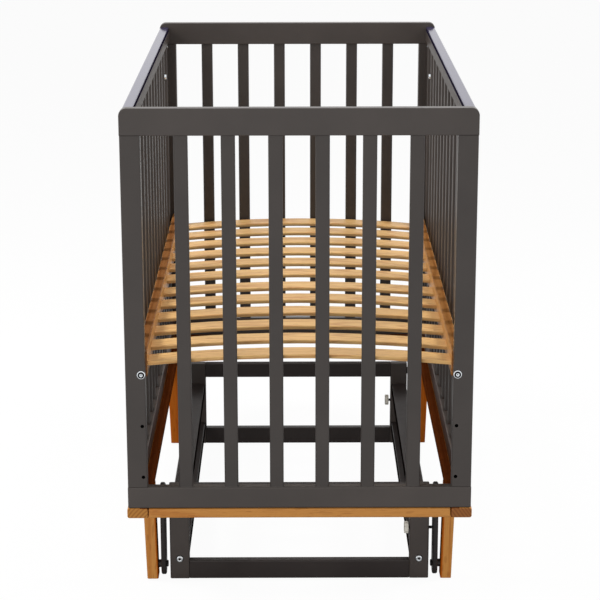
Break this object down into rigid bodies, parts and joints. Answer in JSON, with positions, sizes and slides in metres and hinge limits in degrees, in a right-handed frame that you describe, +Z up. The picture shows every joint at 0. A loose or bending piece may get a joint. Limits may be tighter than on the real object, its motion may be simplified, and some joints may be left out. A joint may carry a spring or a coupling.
{
  "type": "pendulum crib",
  "caption": "Slatted baby crib with a lengthwise pendulum: the bed box hangs by parallel arms from a floor stand, with screws that lock the swing.",
  "frame": {"origin": "on the floor, under the middle of the crib", "axes": "+X across the crib to its right side, +Y along the crib away from the pictured end, +Z up"},
  "size_m": [0.656, 1.2488, 0.986],
  "materials": {
    "graphite_paint": "graphite brown paint, satin",
    "dark_paint": "dark brown paint, satin",
    "honey_beech": "honey stained beech, lacquered",
    "pale_beech": "clear lacquered beech",
    "gloss_cap": "smooth glossy cover",
    "ivory_plastic": "off-white moulded plastic",
    "black_steel": "blackened steel",
    "bright_steel": "bright plated steel"
  },
  "bodies": {
    "stand": {"stand_post_near_right": "graphite_paint", "stand_post_near_left": "graphite_paint", "stand_post_far_right": "graphite_paint", "stand_post_far_left": "graphite_paint", "stand_lower_cross_rail_near": "graphite_paint", "stand_lower_cross_rail_far": "graphite_paint", "stand_upper_cross_rail_near": "graphite_paint", "stand_upper_cross_rail_far": "graphite_paint", "stand_lower_long_rail_right": "graphite_paint", "stand_lower_long_rail_left": "graphite_paint", "stand_upper_long_rail_right": "graphite_paint", "stand_upper_long_rail_left": "graphite_paint"},
    "arm_near_right": {"pendulum_arm_near_right": "dark_paint"},
    "arm_near_left": {"pendulum_arm_near_left": "dark_paint"},
    "arm_far_right": {"pendulum_arm_far_right": "dark_paint"},
    "arm_far_left": {"pendulum_arm_far_left": "dark_paint"},
    "crib": {"pivot_bolt_near_right": "black_steel", "pivot_bolt_near_left": "black_steel", "pivot_bolt_far_right": "black_steel", "pivot_bolt_far_left": "black_steel", "base_side_beam_right": "honey_beech", "base_side_beam_left": "honey_beech", "base_cross_beam_near": "honey_beech", "base_cross_beam_far": "honey_beech", "leg_near_right": "honey_beech", "leg_near_left": "honey_beech", "leg_far_right": "honey_beech", "leg_far_left": "honey_beech", "end_top_rail_near": "graphite_paint", "end_slats_near": "graphite_paint", "end_stile_near_right": "graphite_paint", "end_stile_near_left": "graphite_paint", "end_top_rail_far": "graphite_paint", "end_slats_far": "graphite_paint", "end_stile_far_right": "graphite_paint", "end_stile_far_left": "graphite_paint", "side_panel_right": "graphite_paint", "side_panel_left": "graphite_paint", "side_cap_right": "gloss_cap", "side_cap_left": "gloss_cap", "bed_rail_right": "pale_beech", "bed_rail_left": "pale_beech", "bed_slat_1": "pale_beech", "bed_slat_2": "pale_beech", "bed_slat_3": "pale_beech", "bed_slat_4": "pale_beech", "bed_slat_5": "pale_beech", "bed_slat_6": "pale_beech", "bed_slat_7": "pale_beech", "bed_slat_8": "pale_beech", "bed_slat_9": "pale_beech", "bed_slat_10": "pale_beech", "bed_slat_11": "pale_beech", "bed_slat_12": "pale_beech", "bed_bolt_near_right": "bright_steel", "bed_bolt_near_left": "bright_steel", "bed_bolt_far_right": "bright_steel", "bed_bolt_far_left": "bright_steel"},
    "lock_near": {"lock_screw_near": "ivory_plastic"},
    "lock_far": {"lock_screw_far": "ivory_plastic"}
  },
  "joints": [
    {"name": "swing", "type": "hinge", "parent": "stand", "child": "arm_near_right", "pos_m": [0.2725, -0.425, 0.18], "axis": [1, 0, 0], "range_deg": [-10, 10]},
    {"name": "crib_level", "type": "hinge", "parent": "arm_near_right", "child": "crib", "pos_m": [0.2725, -0.425, 0.0295], "axis": [1, 0, 0], "range_deg": [-10, 10]},
    {"name": "swing_near_left", "type": "hinge", "parent": "stand", "child": "arm_near_left", "pos_m": [-0.2725, -0.425, 0.18], "axis": [1, 0, 0], "range_deg": [-10, 10]},
    {"name": "swing_far_right", "type": "hinge", "parent": "stand", "child": "arm_far_right", "pos_m": [0.2725, 0.425, 0.18], "axis": [1, 0, 0], "range_deg": [-10, 10]},
    {"name": "swing_far_left", "type": "hinge", "parent": "stand", "child": "arm_far_left", "pos_m": [-0.2725, 0.425, 0.18], "axis": [1, 0, 0], "range_deg": [-10, 10]},
    {"name": "lock_near_slide", "type": "slide", "parent": "stand", "child": "lock_near", "axis": [1, 0, 0], "range_m": [-0.012, 0]},
    {"name": "lock_far_slide", "type": "slide", "parent": "stand", "child": "lock_far", "axis": [1, 0, 0], "range_m": [-0.01, 0.002]}
  ],
  "couplings": [
    {"joint": "crib_level", "follows": "swing", "ratio": -1},
    {"joint": "swing_near_left", "follows": "swing", "ratio": 1},
    {"joint": "swing_far_right", "follows": "swing", "ratio": 1},
    {"joint": "swing_far_left", "follows": "swing", "ratio": 1}
  ]
}
